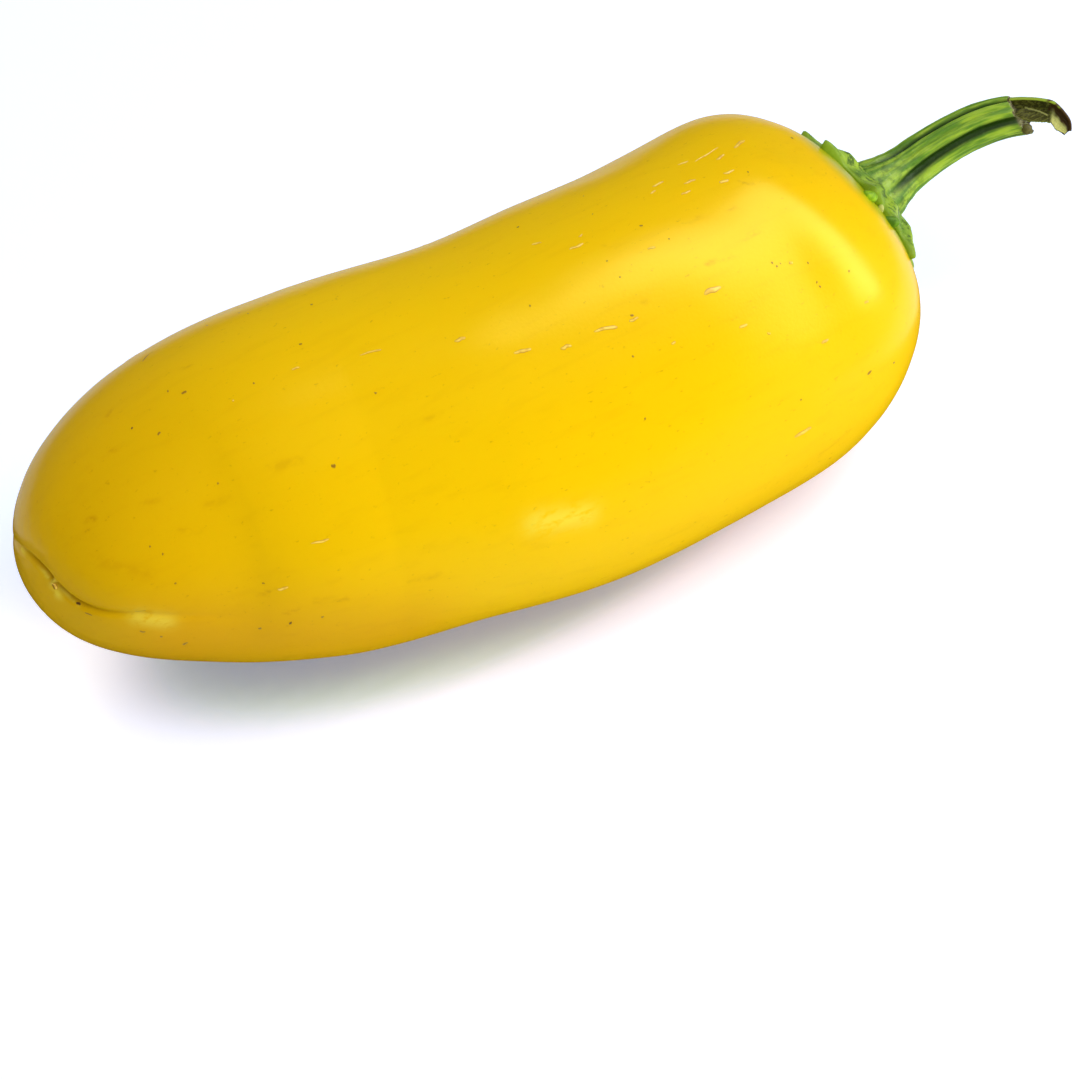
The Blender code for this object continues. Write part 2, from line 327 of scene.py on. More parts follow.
def makeCamera():
    right, up, sight = cameraAxes()
    lens = bpy.data.cameras.new("camera")
    lens.lens, lens.sensor_width = cameraForm["lens"], cameraForm["sensor"]
    lens.clip_start = cameraForm["clipStart"]
    camera = bpy.data.objects.new("camera", lens)
    bpy.context.scene.collection.objects.link(camera)
    turned = Matrix((right, up, -sight)).transposed().to_4x4()
    camera.matrix_world = Matrix.Translation(Vector(cameraPlace() * mm)) @ turned
    bpy.context.scene.camera = camera


makeCamera()


def surfaceOf(piece):
    mesh = piece.data
    corners = [v.co.copy() for v in mesh.vertices]
    return BVHTree.FromPolygons(corners, [p.vertices[:] for p in mesh.polygons])


# Where a pixel of the photograph meets a surface: the point, in metres, and the normal there
def pixelOn(surface, pixel):
    sight = Vector(pixelDirection(pixel)).normalized()
    place, normal, _, _ = surface.ray_cast(Vector(cameraPlace() * mm), sight)
    return place, normal


# Adds a node with its settings and gives its outputs. An input is a value, a hex colour or a link
def addNode(tree, kind, inputs=None, settings=None):
    node = tree.nodes.new(kind)
    for name, value in (settings or {}).items():
        setattr(node, name, value)
    for socket, value in (inputs or {}).items():
        if isinstance(value, bpy.types.NodeSocket):
            tree.links.new(value, node.inputs[socket])
        else:
            node.inputs[socket].default_value = linear(value) if isinstance(value, str) else value
    return node.outputs


# An sRGB hex colour as linear light
def linear(hexColour):
    parts = [int(hexColour[i : i + 2], 16) / 255 for i in (1, 3, 5)]
    light = [c / 12.92 if c <= 0.04045 else ((c + 0.055) / 1.055) ** 2.4 for c in parts]
    return (*light, 1.0)


# A material from its look. Its patterns are noise in patches of so many mm along X, Y and Z, and
# its painted values come with the mesh. Each layer lays a colour over the ones before, smoothly
# more as its source goes from low to high, up to its strength and times its mask.
def grownMaterial(name, look):
    material = bpy.data.materials.new(name)
    material.use_nodes = True
    tree = material.node_tree
    surface = tree.nodes["Principled BSDF"]
    place = addNode(tree, "ShaderNodeTexCoord")["Object"]
    sources = {}
    for pattern, (size, detail, roughness, start) in look.get("patterns", {}).items():
        scale = [1 / (mm * part) for part in size]
        inputs = {"Vector": place, "Scale": scale, "Location": [start] * 3}
        inputs = {"Vector": addNode(tree, "ShaderNodeMapping", inputs)[0], "Scale": 1.0}
        inputs.update({"Detail": detail, "Roughness": roughness})
        sources[pattern] = addNode(tree, "ShaderNodeTexNoise", inputs)["Fac"]
    for painted in look.get("painted", ()):
        settings = {"attribute_name": painted}
        sources[painted] = addNode(tree, "ShaderNodeAttribute", None, settings)["Fac"]
    colour = look["colour"]
    for tint, source, low, high, strength, mask in look["layers"]:
        inputs = {"Value": sources[source], "From Min": low, "From Max": high}
        inputs.update({"To Min": 0.0, "To Max": strength})
        settings = {"interpolation_type": "SMOOTHSTEP"}
        cover = addNode(tree, "ShaderNodeMapRange", inputs, settings)[0]
        if mask:
            inputs = {0: cover, 1: sources[mask]}
            cover = addNode(tree, "ShaderNodeMath", inputs, {"operation": "MULTIPLY"})[0]
        inputs = {0: cover, 6: colour, 7: tint}
        colour = addNode(tree, "ShaderNodeMix", inputs, {"data_type": "RGBA"})[2]
    tree.links.new(colour, surface.inputs["Base Color"])
    if "bump" in look:
        pattern, strength = look["bump"]
        inputs = {"Height": sources[pattern], "Strength": strength, "Distance": bumpHeight}
        tree.links.new(addNode(tree, "ShaderNodeBump", inputs)[0], surface.inputs["Normal"])
    for socket, value in look["surface"].items():
        surface.inputs[socket].default_value = linear(value) if isinstance(value, str) else value
    return material


# Ripe pepper skin: a firm wall under a thin clear wax, grown and not moulded. The wax gives the
# eye a soft, slightly yellow highlight, and the lit flesh under it keeps the shadows warm.
# Warm shade is painted on its lower side, lower edge and folds, the golden tip is partly painted
# shade, and a few pale patches are painted highlights.
skinLook = {
    "colour": "#F7C400",
    "patterns": {
        "streaks": ((8, 1.1, 1.1), 3.0, 0.6, 4.0),
        "freckles": ((0.9, 0.45, 0.45), 3.0, 0.8, 8.0),
        "broken": ((1.4, 0.7, 0.7), 3.0, 0.6, 2.0),
        "cells": ((0.28, 0.28, 0.28), 2.0, 0.5, 0.0),
    },
    "painted": ("unripeAndShade", "underside", "blush", "smudge", "paleScar", "fold", "besideCap"),
    "layers": (  # colour, source, low, high, strength, mask
        # less ripe towards the tip, and darkened there as painted shade in place of the lamp's
        # fall-off
        ("#D6A300", "unripeAndShade", 0.0, 1.0, 1.0, None),
        # painted warm shade low on the pod, by the floor
        ("#EBA200", "underside", 0.0, 1.0, 0.7, None),
        # painted warm shade along the lower edge near the floor
        ("#D89400", "blush", 0.0, 1.0, 1.0, None),
        ("#B87400", "streaks", 0.5, 0.75, 0.07, None),
        ("#B98200", "freckles", 0.64, 0.72, 0.45, None),
        ("#B87400", "broken", 0.35, 0.6, 1.0, "smudge"),
        # pale scars, and painted highlights on the lower middle and along the fold's lip
        ("#F8E650", "broken", 0.3, 0.55, 1.0, "paleScar"),
        # painted shade in the folds, more where they are deeper
        ("#A87400", "fold", 0.3, 1.2, 0.5, None),
        ("#9DAA0C", "besideCap", 0.0, 1.0, 0.85, None),
    ),
    "bump": ("cells", 0.06),
    "surface": {
        "Roughness": 0.25,
        "IOR": 1.38,
        "Specular Tint": "#FFF27A",
        "Subsurface Weight": 0.15,
        "Subsurface Radius": (1.0, 0.6, 0.08),
        "Subsurface Scale": 0.0015,
    },
}

# Where the skin is less ripe towards the tip, with painted shade there too, where warm shade is
# painted low on it, or where it is beside the cap: not at all, and fully, in mm
skinZones = {
    "unripeAndShade": (34.0, -4.0),  # from the tip along the pod
    "underside": (10.0, 0.0),  # height over the floor
    "besideCap": (11.2, 8.4),  # from the middle of the cap
    "wander": (12.0, 2.0),  # patch size, and how far a zone's edge strays
}


# The cap and stalk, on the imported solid's route and rim, with more nubs, ribs and fine lines
stalkForm = {
    "seat": -0.12,  # its underside presses into the skin
    "capRadius": 7.3,
    "underside": (0.25, 0.55, 0.8, 0.9, 0.97),  # rings, as shares of the cap's outline
    "topside": (  # share of the outline, height over the underside
        (0.995, 0.12),
        (1.0, 0.24),
        (0.985, 0.38),
        (0.95, 0.52),
        (0.9, 0.66),
        (0.85, 0.82),
        (0.8, 1.0),
        (0.74, 1.22),
        (0.68, 1.42),
        (0.64, 1.57),
    ),
    "nubs": (  # angle round the rim, reach outwards, half width in degrees, rise
        (22.0, 1.3, 7.0, 0.25),
        (38.0, 0.7, 6.0, 0.7),
        (76.0, 2.4, 6.0, 0.7),
        (118.0, 2.3, 7.0, 0.8),
        (138.0, 1.9, 9.0, 0.3),
        (160.0, 2.3, 5.0, 0.3),
        (192.0, 0.7, 6.0, 0.3),
        (212.0, 0.9, 7.0, 0.5),
        (298.0, 1.0, 8.0, 0.3),
    ),
    "rimWaves": ((3, 0.25, 40.0), (7, 0.12, 10.0)),  # waves round, height, start angle
    "route": (  # along, sideways, height from the pod's end, radius
        (0.9, 0.1, 0.1, 3.75),
        (2.4, 0.15, 0.6, 3.05),
        (4.7, 0.3, 1.25, 2.35),
        (7.3, 0.4, 2.1, 2.15),
        (9.9, 0.2, 2.95, 2.05),
        (12.2, -0.2, 3.6, 2.0),
        (14.2, -0.9, 4.1, 1.9),
        (15.6, -1.6, 4.35, 1.8),
    ),
    "face": (-0.3, -0.5, 0.81),  # the broadest rib faces this way
    "grooves": (  # angle from the top edge towards the face, depth, half width in degrees
        (38.0, 0.26, 8.0),
        (72.0, 0.05, 6.0),
        (110.0, 0.3, 13.0),
        (178.0, 0.20, 14.0),
        (246.0, 0.20, 16.0),
        (314.0, 0.20, 14.0),
    ),
    "grooveStart": 0.35,
    "grooveFade": 2.0,
    "cutSlant": (0.3, 0.5),  # towards the face and towards the top edge
    "fineLines": (31, 0.022),  # lines round the stalk, depth
    "lineWander": (40.0, 1.3),  # degrees, and bends from one route point to the next
    "nubStart": (0.8, 0.2),  # share of the outline, and height, past which a nub rises
    "rimStart": (0.9, 0.75),  # share of the outline where the rim's tint begins, below and above
    "fullGroove": 0.26,
    "footEnd": 3.2,  # in route points
    "ageReach": 0.22,
    "mottle": (0.75, 0.07, 0.25),  # size and height of the foot's bumps, share of them elsewhere
    "ragged": (0.45, 0.12, 0.45, 30),  # the torn cut: patch size, depth, reach along, rings
    "cutSink": 0.5,
    "streaks": (0.2, 1.7, 0.65),  # width and length unrolled, weight of each finer size
    "slopeStep": 0.02,
    "rings": 260,
    "sides": 240,
}


def capOutline(angle):
    outline = stalkForm["capRadius"] + 0 * angle
    for waves, height, start in stalkForm["rimWaves"]:
        outline = outline + height * np.cos(np.radians(waves * (angle - start)))
    for nub, reach, halfWidth, _ in stalkForm["nubs"]:
        outline = outline + reach * np.exp(-((angleBetween(angle, nub) / halfWidth) ** 2))
    return outline


def nubRise(angle):
    rise = 0 * angle
    for nub, _, halfWidth, height in stalkForm["nubs"]:
        rise = rise + height * np.exp(-((angleBetween(angle, nub) / halfWidth) ** 2))
    return rise


# Where along the pod its rounded shoulder has this radius
def shoulderStation(radius):
    x = np.linspace(podForm["length"] - podForm["shoulderEnd"], podForm["length"], 4000)
    return np.interp(-radius, -podRadius(x), x)


def capRing(angle, share, height):
    root, low = stalkForm["nubStart"]
    rise = nubRise(angle) * max(0.0, (share - root) / (1 - root)) * (height > low)
    x = shoulderStation(capOutline(angle) * share)
    return podPoints(x, angle, stalkForm["seat"] + height + rise)


def routePoint(route, t, columns):
    numbered = [(i, *point) for i, point in enumerate(route)]
    return [float(smoothValue(numbered, column + 1, t)) for column in range(columns)]


# The direction of a route at t, and across it its top edge and the side that faces us
def frameAcross(route, t):
    step = stalkForm["slopeStep"]
    before = np.array(routePoint(route, max(t - step, 0), 3))
    after = np.array(routePoint(route, min(t + step, len(route) - 1), 3))
    along = unitRows(after - before)
    face = np.array(stalkForm["face"])
    face = unitRows(face - along * face.dot(along))
    return along, np.cross(face, along), face


stalkRoot = middleLine(np.array(podForm["length"]))


# A ring across the stalk: its points, how deep in a groove each is, and its angle from the top
def stalkRing(t):
    route, end = stalkForm["route"], len(stalkForm["route"]) - 1
    along, top, face = frameAcross(route, t)
    x, y, z, radius = routePoint(route, t, 4)
    nearCut = max(t - end + 1, 0) ** 2
    grooved = min(max(t - stalkForm["grooveStart"], 0) / stalkForm["grooveFade"], 1)
    inCapPlane = max(1 - t, 0)
    _, left, up = podAxes(np.array(podForm["length"]))
    turn = 2 * np.pi * np.arange(stalkForm["sides"])[:, None] / stalkForm["sides"]
    out = unitRows(np.cos(turn) * left + np.sin(turn) * up)
    angle = np.degrees(np.arctan2(out @ face, out @ top))
    depth = np.zeros(len(angle))
    for groove, deepest, halfWidth in stalkForm["grooves"]:
        depth += deepest * grooved * np.exp(-((angleBetween(angle, groove) / halfWidth) ** 2))
    lines, lineDepth = stalkForm["fineLines"]
    wander, bends = stalkForm["lineWander"]
    wander = wander * math.sin(bends * t)
    fine = lineDepth * grooved * np.cos(np.radians(lines * angle + wander))
    across = unitRows(out - (out @ along)[:, None] * along)
    out = unitRows(across * (1 - inCapPlane) + out * inCapPlane)
    faceSlant, topSlant = stalkForm["cutSlant"]
    lean = -radius * nearCut * (faceSlant * (across @ face) + topSlant * (across @ top))
    ring = stalkRoot + np.array([x, y, z]) + out * (radius * (1 - depth) - fine)[:, None]
    return ring + lean[:, None] * along, depth, angle


def makeStalk():
    sides = stalkForm["sides"]
    angle = np.arange(sides) * 360 / sides
    rings = [capRing(angle, share, 0.0) for share in stalkForm["underside"]]
    rings += [capRing(angle, share, height) for share, height in stalkForm["topside"]]
    grooves = [np.zeros(sides) for _ in rings]
    foot = [np.ones(sides) for _ in rings]
    age = [np.zeros(sides) for _ in rings]
    below, above = stalkForm["rimStart"]
    rim = [float(share > below) for share in stalkForm["underside"]]
    rim += [max(0.0, (share - above) / (1 - above)) for share, _ in stalkForm["topside"]]
    rim = [np.full(sides, tint) for tint in rim]
    turned = [angle for _ in rings]
    grown = [np.zeros(sides) for _ in rings]
    end = len(stalkForm["route"]) - 1
    for i in range(stalkForm["rings"] + 1):
        t = end * i / stalkForm["rings"]
        ring, depth, fromTop = stalkRing(t)
        rings.append(ring)
        turned.append(fromTop)
        grown.append(np.full(sides, t))
        # how deep each point lies in a groove, for the painted shade there
        grooves.append(depth / stalkForm["fullGroove"])
        foot.append(np.full(sides, max(0.0, 1 - t / stalkForm["footEnd"])))
        age.append(np.full(sides, math.exp(-(end - t) / stalkForm["ageReach"])))
        rim.append(np.zeros(sides))
    rings = np.array(rings)
    size, height, elsewhere = stalkForm["mottle"]
    middle = rings.mean(axis=1, keepdims=True)
    out = unitRows(rings - middle)
    bumps = noiseAt(rings, (size, size, size)) * height
    bumps *= elsewhere + (1 - elsewhere) * np.array(foot)
    bumps[: len(stalkForm["underside"])] = 0
    # The cut end is torn and uneven
    size, depth, reach, last = stalkForm["ragged"]
    ragged = noiseAt(rings, (size, size, size), 5.0) * np.array(age)
    rings = rings + out * (bumps - depth * np.abs(ragged))[..., None]
    start = podPoints(podForm["length"], 0.0, stalkForm["seat"])
    along, _, _ = frameAcross(stalkForm["route"], end)
    rings[-last:] += along * (reach * ragged[-last:])[..., None]
    tip = rings[-1].mean(axis=0) - along * stalkForm["cutSink"]
    piece = closedPiece("cap_and_stalk", rings + toFrame, start + toFrame, tip + toFrame)
    faceOut(piece)
    # Lines along the ribs, some 0.3 mm wide and 4 mm long, in three sizes
    unrolled = np.radians(np.array(turned))
    unrolled = np.stack([np.cos(unrolled), np.sin(unrolled), np.array(grown)], -1)
    width, length, weight = stalkForm["streaks"]
    lines = 0
    for finer in (1, 2, 4):
        size = (width / finer, width / finer, length / finer)
        lines = lines + weight ** math.log2(finer) * noiseAt(unrolled, size)
    lines = 0.5 + lines * 0.5 / (1 + weight + weight**2)
    for name, values, ends in (
        ("groove", grooves, (0, 0)),
        ("foot", foot, (1, 0)),
        ("age", age, (0, 1)),
        ("rim", rim, (0, 0)),
        ("lines", lines, (0.5, 0.5)),
    ):
        paintValues(piece, name, np.append(np.array(values).reshape(-1), ends))
    return piece


# Fresh pepper stalk: living green tissue in lengthwise ribs, picked by hand. It gives the eye a dull
# satin, pale ribs with shade painted into the grooves between them, a mottled foot and brown fibre
# where it tore.
stalkLook = {
    "colour": "#5C861C",
    "patterns": {
        "spots": ((0.7, 0.7, 0.7), 4.0, 0.65, 3.0),
        "fibre": ((0.5, 0.25, 0.25), 3.0, 0.7, 7.0),
        "cells": ((0.35, 0.2, 0.2), 3.0, 0.6, 1.0),
    },
    "painted": ("lines", "foot", "groove", "rim", "age"),
    "layers": (
        ("#9CB82C", "lines", 0.36, 0.64, 1.0, None),
        ("#365810", "spots", 0.52, 0.38, 0.9, "foot"),
        ("#A6C060", "spots", 0.56, 0.68, 0.8, "foot"),
        # painted shade in the grooves, by their depth
        ("#223E00", "groove", 0.08, 0.75, 1.0, None),
        ("#7F9C14", "rim", 0.55, 1.0, 0.9, None),
        ("#8E8A5C", "age", 0.25, 0.8, 1.0, None),
        ("#4A3E1E", "fibre", 0.6, 0.4, 1.0, "age"),
    ),
    "bump": ("cells", 0.35),
    "surface": {
        "Roughness": 0.5,
        "IOR": 1.4,
        "Specular IOR Level": 0.3,
        "Subsurface Weight": 0.1,
        "Subsurface Radius": (0.4, 1.0, 0.15),
        "Subsurface Scale": 0.0005,
    },
}


stalk = makeStalk()
stalk.data.materials.append(grownMaterial("fresh_ribbed_stalk", stalkLook))
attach(stalk, "root")
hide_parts("calyx_and_stem")
print("cap and stalk grown")

# The torn strip: the stalk's upper rib, which runs on past the cut as an open trough and hooks
# down. Each section has the photograph's pixels of its top and lower edges, and how far its
# middle lies behind them in mm.
stripForm = {
    "sections": (
        ((966, 111), (972, 122), 0.4),
        ((984, 103), (989, 114), 0.7),
        ((1002, 97.8), (1006, 115), 1.0),
        ((1018, 96.0), (1020, 119), 1.1),
        ((1032, 96.0), (1034, 121), 1.1),
        ((1044, 97.5), (1045, 121), 0.9),
        ((1053, 100.0), (1051, 122), 0.7),
        ((1062, 108.0), (1055, 127), 0.5),
        ((1069, 118.0), (1060, 131), 0.35),
        ((1070, 127.0), (1065, 134), 0.2),
    ),
    "depth": (264.5, 263.9),  # of its crest from the camera at both ends
    "lip": (0.14, 0.45, 2.0),  # share of the width, reach forwards, pixels below the crest
    "thickness": 0.3,
    "thinEdge": 0.6,  # share of the thickness that both edges lose
    "jagged": (2.2, 1.7, 5.0, 0.6),  # pixels its lower edge wanders, bends, finer ones, calm end
    "ripple": (0.05, 40.0),  # depth and bends across
    "rings": 110,
    "across": 26,
    # Painted: from and to along it, its edge's patch size in mm and how far that edge strays
    "dry": (0.7, 0.82, 0.9, 0.1),
    "tongue": (0.62, 0.7, 0.5, 0.75),  # from and to along it and across it
    "fibre": (0.38, 0.6, 0.5, 0.76, 0.035),  # a loose pale fibre: along, across, half width
}


# A point seen at a pixel of the photograph, this far along the camera's line of sight
def pixelAt(pixel, depth):
    return cameraPlace() - toFrame + pixelDirection(pixel) * depth


def makeStrip():
    form = stripForm
    table = [
        (i, *top, *lower, behind) for i, (top, lower, behind) in enumerate(form["sections"])
    ]
    end = len(table) - 1
    lipShare, lipReach, lipDrop = form["lip"]
    jagged, bends, finer, calm = form["jagged"]
    ripple, folds = form["ripple"]
    _, _, sight = cameraAxes()
    share = np.linspace(0, 1, form["across"] + 1)
    fronts, values = [], []
    for i in range(form["rings"] + 1):
        t = end * i / form["rings"]
        topX, topY, lowX, lowY, behind = (float(smoothValue(table, c, t)) for c in range(1, 6))
        wander = noise.noise(Vector((t * bends, 3, 0)))
        wander = jagged * (wander + noise.noise(Vector((t * finer, 0, 9))) / 2)
        edge = (lowX, lowY + wander * min(1, (end - t) * calm))
        crest = form["depth"][0] + (form["depth"][1] - form["depth"][0]) * t / end
        front = []
        for s in share:
            lip = max(0.0, 1 - s / lipShare)
            pixel = (topX + (edge[0] - topX) * s, topY + (edge[1] - topY) * s)
            pixel = (pixel[0], pixel[1] + lip * lipDrop * 2)
            depth = crest + behind * math.sin(math.pi * max(s - lipShare / 2, 0)) - lip * lipReach
            depth += ripple * math.cos(s * folds + t)
            front.append(pixelAt(pixel, depth))
        fronts.append(front)
        values.append([(t / end, s) for s in share])
    fronts = np.array(fronts)
    across = np.gradient(fronts, axis=1)
    along = np.gradient(fronts, axis=0)
    out = unitRows(np.cross(along, across))
    out *= np.sign((out @ sight).mean())
    thin = form["thickness"] * (1 - form["thinEdge"] * np.abs(2 * share - 1) ** 3)
    backs = fronts + out * thin[None, :, None]
    rings = np.concatenate([fronts, backs[:, ::-1]], axis=1)
    ends = rings[0].mean(axis=0), rings[-1].mean(axis=0)
    piece = closedPiece("torn_strip", rings + toFrame, ends[0] + toFrame, ends[1] + toFrame)
    faceOut(piece)
    values = np.array(values)
    values = np.concatenate([values, values[:, ::-1]], 1)
    inner = np.clip((share - lipShare * 0.6) / (lipShare * 0.5), 0, 1)
    inner = np.tile(inner, (len(rings), 1))
    inside = np.concatenate([inner, np.zeros_like(inner)], 1)
    low, high, size, stray = form["dry"]
    stray = stray * (0.8 + 2 * noiseAt(rings, (size, size / 2, size / 2)))
    dry = np.clip((values[..., 0] + stray - low) / (high - low), 0, 1)
    start, stop, near, far = form["tongue"]
    tongue = np.clip((values[..., 0] - start) / (stop - start), 0, 1)
    tongue = tongue * np.clip((values[..., 1] + stray - near) / (far - near), 0, 1)
    start, stop, near, far, half = form["fibre"]
    reached = np.clip((values[..., 0] - start) / (stop - start), 0, 1)
    off = (values[..., 1] - near - (far - near) * reached**1.5) / half
    fibre = np.exp(-(off**2)) * (reached > 0) * (reached < 1)
    for name, part, ends in (
        ("hollow", inside, (0.5, 0.5)),
        ("dry", dry, (0, 1)),
        ("tongue", np.maximum(tongue, fibre) * inside, (0, 0)),
    ):
        paintValues(piece, name, np.append(part.reshape(-1), ends))
    return piece


# Torn stalk rib: green rind outside, bruised fibre inside, dried brown where it hooks over. Its
# inside is also painted dark as the shade in the hollow under its bright green edge.
stripLook = {
    "colour": "#93A828",
    "patterns": {"fibre": ((1.5, 0.2, 0.2), 3.0, 0.7, 2.0)},
    "painted": ("hollow", "dry", "tongue"),
    "layers": (
        # painted shade in the hollow, over the bruised fibre's colour
        ("#45440E", "hollow", 0.0, 1.0, 1.0, None),
        ("#74742A", "fibre", 0.45, 0.62, 1.0, "hollow"),
        ("#4A3210", "dry", 0.0, 1.0, 1.0, None),
        ("#C9C870", "tongue", 0.0, 1.0, 1.0, None),
    ),
    "bump": ("fibre", 0.5),
    "surface": {"Roughness": 0.6, "IOR": 1.4, "Specular IOR Level": 0.2},
}


strip = makeStrip()
strip.data.materials.append(grownMaterial("torn_dried_rib", stripLook))
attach(strip, "root")
print("torn strip made")

# Marks of the skin, found on the photograph by pixel and laid on the pod: from, to, width in mm
skinMarks = {
    "cork": (
        ((733, 148), (745, 140), 0.4),
        ((694, 162), (719, 147), 0.2),
        ((677, 165), (689, 161), 0.22),
        ((716, 160), (725, 154), 0.29),
        ((652, 187), (664, 181), 0.29),
        ((650, 194), (656, 190), 0.22),
        ((683, 184), (696, 179), 0.29),
        ((681, 195), (691, 190), 0.25),
        ((723, 174), (735, 170), 0.29),
        ((719, 183), (729, 179), 0.36),
        ((531, 245), (542, 242), 0.29),
        ((569, 250), (584, 243), 0.32),
        ((578, 237), (583, 234), 0.22),
        ((647, 249), (656, 247), 0.25),
        ((593, 331), (618, 326), 0.4),
        ((629, 322), (639, 317), 0.29),
        ((513, 353), (532, 349), 0.36),
        ((560, 349), (572, 345), 0.36),
        ((454, 342), (466, 337), 0.36),
        ((704, 295), (721, 286), 0.58),
        ((739, 328), (748, 324), 0.25),
        ((671, 344), (676, 342), 0.25),
        ((767, 334), (771, 333), 0.22),
        ((821, 343), (829, 339), 0.29),
        ((794, 437), (812, 427), 0.43),
        ((864, 303), (869, 301), 0.25),
        ((789, 264), (793, 262), 0.29),
        ((359, 355), (382, 349), 0.25),
        ((291, 370), (300, 367), 0.25),
        ((310, 544), (330, 539), 0.22),
        ((277, 590), (289, 587), 0.29),
        ((52, 582), (57, 590), 0.3),
        ((232, 401), (234, 400), 0.18),
    ),
    "dark": (
        ((517, 227), (519, 227), 0.35),
        ((791, 138), (793, 138), 0.38),
        ((131, 428), (133, 428), 0.26),
        ((289, 623), (292, 623), 0.38),
        ((76, 602), (81, 605), 0.27),
    ),
    "brown": (
        ((583, 196), (584, 196), 0.2),
        ((747, 172), (749, 172), 0.25),
        ((592, 214), (593, 214), 0.2),
        ((639, 226), (643, 225), 0.22),
        ((606, 261), (608, 261), 0.2),
        ((619, 277), (621, 277), 0.22),
        ((529, 306), (531, 306), 0.25),
        ((630, 316), (634, 315), 0.22),
        ((632, 357), (634, 356), 0.25),
        ((742, 327), (747, 325), 0.22),
        ((867, 375), (872, 370), 0.3),
        ((893, 363), (895, 362), 0.25),
        ((771, 263), (773, 262), 0.28),
        ((776, 267), (778, 266), 0.28),
        ((780, 264), (781, 263), 0.2),
        ((816, 283), (818, 282), 0.28),
        ((819, 287), (821, 286), 0.28),
        ((848, 271), (850, 271), 0.28),
        ((807, 263), (809, 263), 0.25),
        ((800, 400), (802, 400), 0.22),
        ((644, 419), (646, 418), 0.2),
        ((668, 239), (670, 239), 0.2),
        ((310, 305), (313, 304), 0.25),
        ((299, 345), (302, 343), 0.28),
        ((253, 384), (255, 383), 0.25),
        ((181, 394), (187, 391), 0.38),
        ((167, 391), (169, 391), 0.25),
        ((238, 313), (240, 313), 0.22),
        ((247, 314), (249, 313), 0.22),
        ((206, 326), (208, 325), 0.25),
        ((142, 362), (149, 354), 0.25),
        ((157, 435), (161, 432), 0.3),
        ((331, 467), (336, 465), 0.32),
        ((217, 484), (219, 483), 0.25),
        ((374, 393), (377, 393), 0.22),
        ((149, 547), (151, 546), 0.25),
        ((162, 555), (164, 554), 0.25),
        ((174, 584), (177, 583), 0.28),
        ((262, 584), (265, 583), 0.28),
        ((321, 617), (324, 617), 0.3),
        ((258, 629), (262, 628), 0.28),
        ((84, 612), (93, 616), 0.18),
        ((139, 631), (146, 632), 0.32),
        ((160, 636), (163, 637), 0.28),
        ((182, 645), (188, 642), 0.35),
        ((52, 584), (55, 590), 0.25),
        ((134, 612), (147, 610), 0.09),
    ),
}

# Softer stains, pale scars with some painted highlights, and painted shade along the lower edge:
# from, to, width in mm, strength
skinStains = {
    "smudge": (
        ((86, 520), (94, 519), 0.42, 0.68),
        ((181, 531), (199, 530), 0.48, 0.34),
        ((270, 468), (300, 460), 0.54, 0.3),
        ((258, 595), (277, 591), 0.3, 0.52),
        ((285, 614), (298, 610), 0.48, 0.38),
        ((314, 601), (347, 598), 0.36, 0.38),
        ((180, 369), (189, 366), 0.36, 0.45),
        ((108, 416), (112, 411), 0.42, 0.45),
        ((112, 451), (115, 450), 0.36, 0.38),
        ((706, 264), (736, 256), 0.24, 0.6),
        ((738, 240), (760, 231), 0.24, 0.6),
        ((689, 221), (706, 216), 0.3, 0.34),
        ((740, 182), (752, 184), 0.18, 0.52),
        ((728, 210), (738, 207), 0.3, 0.3),
        ((606, 246), (616, 246), 0.3, 0.3),
        ((643, 302), (648, 299), 0.3, 0.34),
        ((410, 583), (440, 574), 0.36, 0.34),
        ((425, 420), (440, 414), 0.42, 0.22),
        ((205, 505), (230, 498), 0.54, 0.22),
        ((140, 505), (158, 500), 0.48, 0.22),
        ((95, 560), (150, 575), 0.96, 0.19),
        ((820, 455), (850, 430), 0.48, 0.22),
    ),
    "paleScar": (
        ((139, 617), (166, 622), 1.7, 0.4),
        # painted highlight
        ((538, 523), (586, 515), 2.2, 0.5),
        ((52, 582), (58, 594), 0.9, 0.5),
        # painted highlights along the lip over the fold
        ((22, 549), (46, 573), 0.35, 0.6),
        ((46, 575), (78, 604), 0.35, 0.5),
    ),
    "blush": (
        # painted warm shade along the pod's lower edge near the floor
        ((190, 640), (400, 628), 14.0, 0.5),
    ),
}

# The same kinds of marks where the photograph doesn't look, by seeded chance
hiddenMarks = {
    "seed": 5,
    "cork": (42, (0.5, 2.2), (0.2, 0.36)),  # how many, their lengths and their widths
    "dark": (8, (0.1, 0.4), (0.18, 0.32)),
    "brown": (60, (0.1, 0.5), (0.18, 0.32)),
    "stations": (4, 76),  # along the pod
    "turn": 2,  # degrees that one may lean
    "offFloor": 1.2,
}

# How one mark is laid: mm from row to row, fewest rows, steps across, its ends' bluntness, how
# much its edge and its line stray with how many bends, its share under the skin, least length
markForm = {
    "row": 0.12,
    "fewestRows": 6,
    "across": 6,
    "bluntness": 2.6,
    "rough": (0.45, 2.2),
    "bend": (0.35, 2.5),
    "sunk": 0.2,
    "leastLength": 0.5,  # share of its width
}

podSurface = surfaceOf(pod)


# A stain's strength at every corner of the pod
def stainValues(stains):
    corners = np.array([v.co for v in pod.data.vertices])
    total = np.zeros(len(corners))
    for first, last, width, strength in stains:
        start, _ = pixelOn(podSurface, first)
        stop, _ = pixelOn(podSurface, last)
        if start is None or stop is None:
            print("a stain misses the pod:", first, last)
            continue
        a, b = np.array(start), np.array(stop)
        t = np.clip(((corners - a) @ (b - a)) / max((b - a) @ (b - a), 1e-12), 0, 1)
        off = np.linalg.norm(corners - a - t[:, None] * (b - a), axis=1)
        total = np.maximum(total, strength * np.exp(-((off / (width * mm / 2)) ** 2)))
    return total


